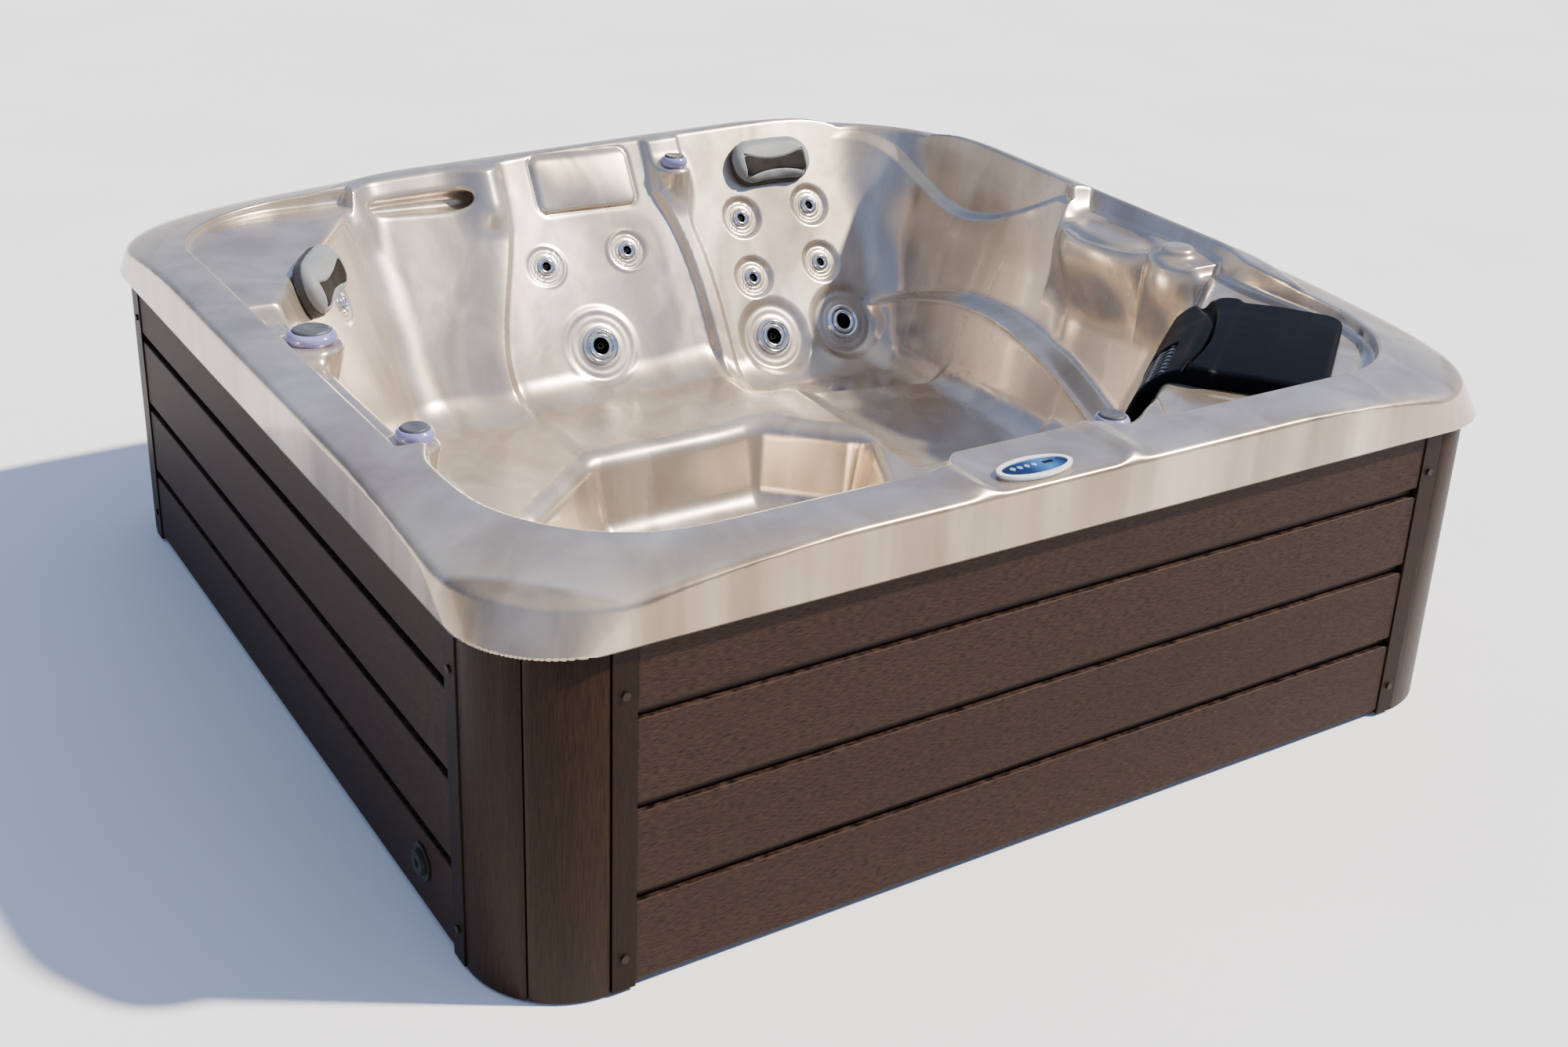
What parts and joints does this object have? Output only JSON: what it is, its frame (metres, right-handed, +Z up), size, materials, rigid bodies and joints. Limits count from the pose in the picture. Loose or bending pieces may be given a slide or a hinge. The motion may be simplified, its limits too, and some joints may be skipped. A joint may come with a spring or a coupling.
{
  "type": "portable hot tub",
  "caption": "Square portable hot tub with a moulded acrylic shell, plank-look cabinet, turning jets, air and diverter knobs, pull-off pillows and a keypad.",
  "frame": {"origin": "centre of the footprint on the ground", "axes": "+X to the right along the front side (the side with the keypad), +Y to the back, +Z up"},
  "size_m": [2.2, 2.2, 0.788],
  "materials": {
    "shell": "pearlescent gloss",
    "cabinet": "embossed wood grain",
    "trim": "satin",
    "backing": "stained sheet",
    "screws": "dark painted",
    "tray": "moulded",
    "frame": "sawn timber",
    "foam": "sprayed foam",
    "fittings": "gloss",
    "bezel": "gloss",
    "control_face": "gloss film",
    "buttons": "satin",
    "knobs": "translucent gloss",
    "valves": "moulded",
    "jet_chrome": "polished",
    "jet_dark": "moulded",
    "pillows": "skinned foam",
    "inserts": "skinned foam",
    "collar": "skinned foam",
    "pipes": "moulded",
    "hoses": "clear tube",
    "motor": "painted casting",
    "pump": "moulded",
    "heater": "brushed",
    "electrics": "moulded",
    "cartridge": "pleated",
    "drain": "moulded"
  },
  "bodies": {
    "tub": {"back_planks": "cabinet", "base_tray": "tray", "cabinet_screws": "screws", "collar_grille": "collar", "control_bezel": "bezel", "control_box": "electrics", "control_face": "control_face", "corner_posts": "cabinet", "drain_valve": "drain", "filter_cartridge": "cartridge", "filter_housing": "pump", "foam_wall_back": "foam", "foam_wall_front": "foam", "foam_wall_left": "foam", "foam_wall_right": "foam", "footwell_support": "foam", "frame_rails": "frame", "frame_studs": "frame", "heater": "heater", "jet_bodies": "pipes", "jet_hoses": "hoses", "left_planks": "cabinet", "neck_collar": "collar", "ozonator": "electrics", "power_gland": "drain", "pump_motor": "motor", "pump_wet_end": "pump", "right_planks": "cabinet", "rim_support": "foam", "seat_supports": "foam", "side_panel_backings": "backing", "side_trim_strips": "trim", "small_jet_nozzles": "jet_dark", "small_jet_rings": "jet_chrome", "tub_shell": "shell", "valve_bodies": "valves", "water_lines": "pipes", "well_fittings": "fittings"},
    "front_panel": {"front_planks": "cabinet", "front_trim_strips": "trim", "front_panel_screws": "screws", "front_panel_backing": "backing"},
    "drain_cap": {"drain_cap": "drain"},
    "jet_middle": {"large_jet_middle": "jet_chrome"},
    "jet_right_a": {"large_jet_right_a": "jet_chrome"},
    "jet_right_b": {"large_jet_right_b": "jet_chrome"},
    "diverter": {"diverter_knob": "knobs"},
    "air_left": {"air_knob_left": "knobs"},
    "air_back": {"air_knob_back": "knobs"},
    "air_front": {"air_knob_front": "knobs"},
    "pillow_back_right": {"pillow_back_right": "pillows", "pillow_back_right_insert": "inserts"},
    "pillow_back_left": {"pillow_back_left": "pillows", "pillow_back_left_insert": "inserts"},
    "pillow_front_left": {"pillow_front_left": "pillows", "pillow_front_left_insert": "inserts"},
    "button_1": {"button_1": "buttons"},
    "button_2": {"button_2": "buttons"},
    "button_3": {"button_3": "buttons"},
    "button_4": {"button_4": "buttons"}
  },
  "joints": [
    {"name": "front_panel_pull", "type": "slide", "parent": "tub", "child": "front_panel", "axis": [0, -1, 0], "range_m": [0, 0.3]},
    {"name": "drain_cap_turn", "type": "hinge", "parent": "tub", "child": "drain_cap", "pos_m": [-1.08, -0.731, 0.102], "axis": [-1, 0, 0], "range_deg": [0, 360]},
    {"name": "jet_middle_turn", "type": "hinge", "parent": "tub", "child": "jet_middle", "pos_m": [0.008, 0.7492, 0.347], "axis": [0, -0.8575, 0.5145], "range_deg": [0, 90]},
    {"name": "jet_right_a_turn", "type": "hinge", "parent": "tub", "child": "jet_right_a", "pos_m": [0.505, 0.7222, 0.302], "axis": [0, -0.8575, 0.5145], "range_deg": [0, 90]},
    {"name": "jet_right_b_turn", "type": "hinge", "parent": "tub", "child": "jet_right_b", "pos_m": [0.728, 0.7258, 0.308], "axis": [0, -0.8575, 0.5145], "range_deg": [0, 90]},
    {"name": "diverter_turn", "type": "hinge", "parent": "tub", "child": "diverter", "pos_m": [-0.938, 0.112, 0.722], "axis": [0, 0, 1], "range_deg": [0, 180]},
    {"name": "air_left_turn", "type": "hinge", "parent": "tub", "child": "air_left", "pos_m": [-0.945, -0.428, 0.722], "axis": [0, 0, 1], "range_deg": [0, 90]},
    {"name": "air_back_turn", "type": "hinge", "parent": "tub", "child": "air_back", "pos_m": [0.316, 0.936, 0.732], "axis": [0, 0, 1], "range_deg": [0, 90]},
    {"name": "air_front_turn", "type": "hinge", "parent": "tub", "child": "air_front", "pos_m": [0.19, -0.914, 0.712], "axis": [0, 0, 1], "range_deg": [0, 90]},
    {"name": "pillow_back_right_lift", "type": "slide", "parent": "tub", "child": "pillow_back_right", "axis": [0, -0.8575, 0.5145], "range_m": [0, 0.12]},
    {"name": "pillow_back_left_lift", "type": "slide", "parent": "tub", "child": "pillow_back_left", "axis": [0.7846, -0.4941, 0.3746], "range_m": [0, 0.12]},
    {"name": "pillow_front_left_lift", "type": "slide", "parent": "tub", "child": "pillow_front_left", "axis": [0.9409, 0, 0.3387], "range_m": [0, 0.12]},
    {"name": "button_1_press", "type": "slide", "parent": "tub", "child": "button_1", "axis": [0, 0, -1], "range_m": [0, 0.001], "stiffness_N_per_m": 500},
    {"name": "button_2_press", "type": "slide", "parent": "tub", "child": "button_2", "axis": [0, 0, -1], "range_m": [0, 0.001], "stiffness_N_per_m": 500},
    {"name": "button_3_press", "type": "slide", "parent": "tub", "child": "button_3", "axis": [0, 0, -1], "range_m": [0, 0.001], "stiffness_N_per_m": 500},
    {"name": "button_4_press", "type": "slide", "parent": "tub", "child": "button_4", "axis": [0, 0, -1], "range_m": [0, 0.001], "stiffness_N_per_m": 500}
  ]
}
